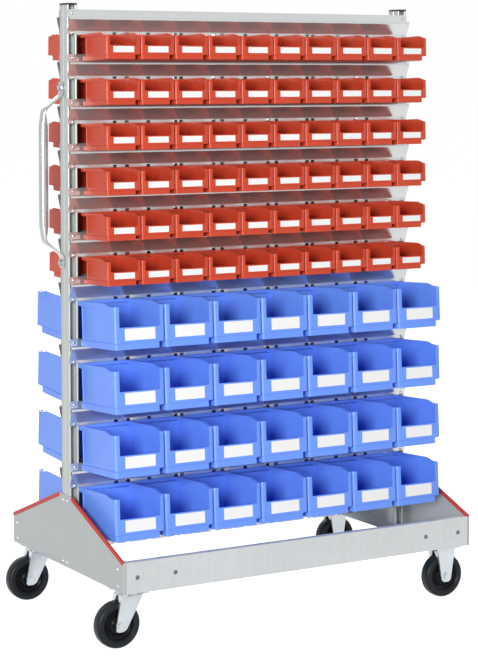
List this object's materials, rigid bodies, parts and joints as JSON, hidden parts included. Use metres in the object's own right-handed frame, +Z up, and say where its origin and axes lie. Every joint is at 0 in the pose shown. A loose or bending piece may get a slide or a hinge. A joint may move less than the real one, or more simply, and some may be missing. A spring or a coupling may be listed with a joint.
{
  "type": "mobile bin rack",
  "caption": "Double-sided wheeled rack of galvanised sheet that carries rows of small red and large blue open-fronted bins on folded rails, with a push handle and swivel casters at one end.",
  "frame": {"origin": "on the floor, midway between the two posts and midway between front and back", "axes": "+X along the rack from the handle's end to the fixed casters' end, +Y from front to back, +Z up"},
  "size_m": [1.1875, 0.702, 1.692],
  "materials": {
    "galvanised_sheet": "satin zinc",
    "galvanised_profile": "satin zinc",
    "zinc_plate": "bright zinc",
    "handle_tube": "satin",
    "black_plastic": "matte",
    "hub_plastic": "matte",
    "tyre_rubber": "matte",
    "red_trim": "satin",
    "red_bin_plastic": "moulded satin",
    "blue_bin_plastic": "moulded satin"
  },
  "bodies": {
    "rack": {"left_base_end": "galvanised_sheet", "right_base_end": "galvanised_sheet", "front_base_panel": "galvanised_sheet", "rear_base_panel": "galvanised_sheet", "left_post": "galvanised_profile", "right_post": "galvanised_profile", "post_caps": "black_plastic", "edge_trims": "red_trim", "push_handle": "handle_tube", "front_rails": "galvanised_profile", "rear_rails": "galvanised_profile", "swivel_heads": "zinc_plate", "fixed_forks": "zinc_plate", "front_red_bins": "red_bin_plastic", "rear_red_bins": "red_bin_plastic", "front_blue_bins": "blue_bin_plastic", "rear_blue_bins": "blue_bin_plastic"},
    "front_swivel": {"front_swivel_fork": "zinc_plate"},
    "front_left_wheel": {"front_left_tyre": "tyre_rubber", "front_left_hub": "hub_plastic"},
    "front_right_wheel": {"front_right_tyre": "tyre_rubber", "front_right_hub": "hub_plastic"},
    "rear_swivel": {"rear_swivel_fork": "zinc_plate"},
    "rear_left_wheel": {"rear_left_tyre": "tyre_rubber", "rear_left_hub": "hub_plastic"},
    "rear_right_wheel": {"rear_right_tyre": "tyre_rubber", "rear_right_hub": "hub_plastic"},
    "front_red_bin_1": {"front_red_bin_1": "red_bin_plastic"},
    "front_red_bin_2": {"front_red_bin_2": "red_bin_plastic"},
    "front_red_bin_3": {"front_red_bin_3": "red_bin_plastic"},
    "front_red_bin_4": {"front_red_bin_4": "red_bin_plastic"},
    "front_red_bin_5": {"front_red_bin_5": "red_bin_plastic"},
    "front_red_bin_6": {"front_red_bin_6": "red_bin_plastic"},
    "front_blue_bin_1": {"front_blue_bin_1": "blue_bin_plastic"},
    "front_blue_bin_2": {"front_blue_bin_2": "blue_bin_plastic"},
    "front_blue_bin_3": {"front_blue_bin_3": "blue_bin_plastic"},
    "front_blue_bin_4": {"front_blue_bin_4": "blue_bin_plastic"},
    "rear_red_bin_1": {"rear_red_bin_1": "red_bin_plastic"},
    "rear_red_bin_2": {"rear_red_bin_2": "red_bin_plastic"},
    "rear_red_bin_3": {"rear_red_bin_3": "red_bin_plastic"},
    "rear_red_bin_4": {"rear_red_bin_4": "red_bin_plastic"},
    "rear_red_bin_5": {"rear_red_bin_5": "red_bin_plastic"},
    "rear_red_bin_6": {"rear_red_bin_6": "red_bin_plastic"},
    "rear_blue_bin_1": {"rear_blue_bin_1": "blue_bin_plastic"},
    "rear_blue_bin_2": {"rear_blue_bin_2": "blue_bin_plastic"},
    "rear_blue_bin_3": {"rear_blue_bin_3": "blue_bin_plastic"},
    "rear_blue_bin_4": {"rear_blue_bin_4": "blue_bin_plastic"}
  },
  "joints": [
    {"name": "front_swivel_turn", "type": "hinge", "parent": "rack", "child": "front_swivel", "pos_m": [-0.506, -0.283, 0.14], "axis": [0, 0, 1], "continuous": true},
    {"name": "front_left_wheel_spin", "type": "hinge", "parent": "front_swivel", "child": "front_left_wheel", "pos_m": [-0.542, -0.283, 0.0625], "axis": [0, 1, 0], "continuous": true},
    {"name": "front_right_wheel_spin", "type": "hinge", "parent": "rack", "child": "front_right_wheel", "pos_m": [0.505, -0.283, 0.0625], "axis": [0, 1, 0], "continuous": true},
    {"name": "rear_swivel_turn", "type": "hinge", "parent": "rack", "child": "rear_swivel", "pos_m": [-0.506, 0.283, 0.14], "axis": [0, 0, 1], "continuous": true},
    {"name": "rear_left_wheel_spin", "type": "hinge", "parent": "rear_swivel", "child": "rear_left_wheel", "pos_m": [-0.542, 0.283, 0.0625], "axis": [0, 1, 0], "continuous": true},
    {"name": "rear_right_wheel_spin", "type": "hinge", "parent": "rack", "child": "rear_right_wheel", "pos_m": [0.505, 0.283, 0.0625], "axis": [0, 1, 0], "continuous": true},
    {"name": "front_red_bin_1_lift_out", "type": "slide", "parent": "rack", "child": "front_red_bin_1", "axis": [0, -0.9903, 0.1392], "range_m": [0, 0.18]},
    {"name": "front_red_bin_2_lift_out", "type": "slide", "parent": "rack", "child": "front_red_bin_2", "axis": [0, -0.9903, 0.1392], "range_m": [0, 0.18]},
    {"name": "front_red_bin_3_lift_out", "type": "slide", "parent": "rack", "child": "front_red_bin_3", "axis": [0, -0.9903, 0.1392], "range_m": [0, 0.18]},
    {"name": "front_red_bin_4_lift_out", "type": "slide", "parent": "rack", "child": "front_red_bin_4", "axis": [0, -0.9903, 0.1392], "range_m": [0, 0.18]},
    {"name": "front_red_bin_5_lift_out", "type": "slide", "parent": "rack", "child": "front_red_bin_5", "axis": [0, -0.9903, 0.1392], "range_m": [0, 0.18]},
    {"name": "front_red_bin_6_lift_out", "type": "slide", "parent": "rack", "child": "front_red_bin_6", "axis": [0, -0.9903, 0.1392], "range_m": [0, 0.18]},
    {"name": "front_blue_bin_1_lift_out", "type": "slide", "parent": "rack", "child": "front_blue_bin_1", "axis": [0, -0.9903, 0.1392], "range_m": [0, 0.25]},
    {"name": "front_blue_bin_2_lift_out", "type": "slide", "parent": "rack", "child": "front_blue_bin_2", "axis": [0, -0.9903, 0.1392], "range_m": [0, 0.25]},
    {"name": "front_blue_bin_3_lift_out", "type": "slide", "parent": "rack", "child": "front_blue_bin_3", "axis": [0, -0.9903, 0.1392], "range_m": [0, 0.25]},
    {"name": "front_blue_bin_4_lift_out", "type": "slide", "parent": "rack", "child": "front_blue_bin_4", "axis": [0, -0.9903, 0.1392], "range_m": [0, 0.25]},
    {"name": "rear_red_bin_1_lift_out", "type": "slide", "parent": "rack", "child": "rear_red_bin_1", "axis": [0, 0.9903, 0.1392], "range_m": [0, 0.18]},
    {"name": "rear_red_bin_2_lift_out", "type": "slide", "parent": "rack", "child": "rear_red_bin_2", "axis": [0, 0.9903, 0.1392], "range_m": [0, 0.18]},
    {"name": "rear_red_bin_3_lift_out", "type": "slide", "parent": "rack", "child": "rear_red_bin_3", "axis": [0, 0.9903, 0.1392], "range_m": [0, 0.18]},
    {"name": "rear_red_bin_4_lift_out", "type": "slide", "parent": "rack", "child": "rear_red_bin_4", "axis": [0, 0.9903, 0.1392], "range_m": [0, 0.18]},
    {"name": "rear_red_bin_5_lift_out", "type": "slide", "parent": "rack", "child": "rear_red_bin_5", "axis": [0, 0.9903, 0.1392], "range_m": [0, 0.18]},
    {"name": "rear_red_bin_6_lift_out", "type": "slide", "parent": "rack", "child": "rear_red_bin_6", "axis": [0, 0.9903, 0.1392], "range_m": [0, 0.18]},
    {"name": "rear_blue_bin_1_lift_out", "type": "slide", "parent": "rack", "child": "rear_blue_bin_1", "axis": [0, 0.9903, 0.1392], "range_m": [0, 0.25]},
    {"name": "rear_blue_bin_2_lift_out", "type": "slide", "parent": "rack", "child": "rear_blue_bin_2", "axis": [0, 0.9903, 0.1392], "range_m": [0, 0.25]},
    {"name": "rear_blue_bin_3_lift_out", "type": "slide", "parent": "rack", "child": "rear_blue_bin_3", "axis": [0, 0.9903, 0.1392], "range_m": [0, 0.25]},
    {"name": "rear_blue_bin_4_lift_out", "type": "slide", "parent": "rack", "child": "rear_blue_bin_4", "axis": [0, 0.9903, 0.1392], "range_m": [0, 0.25]}
  ]
}
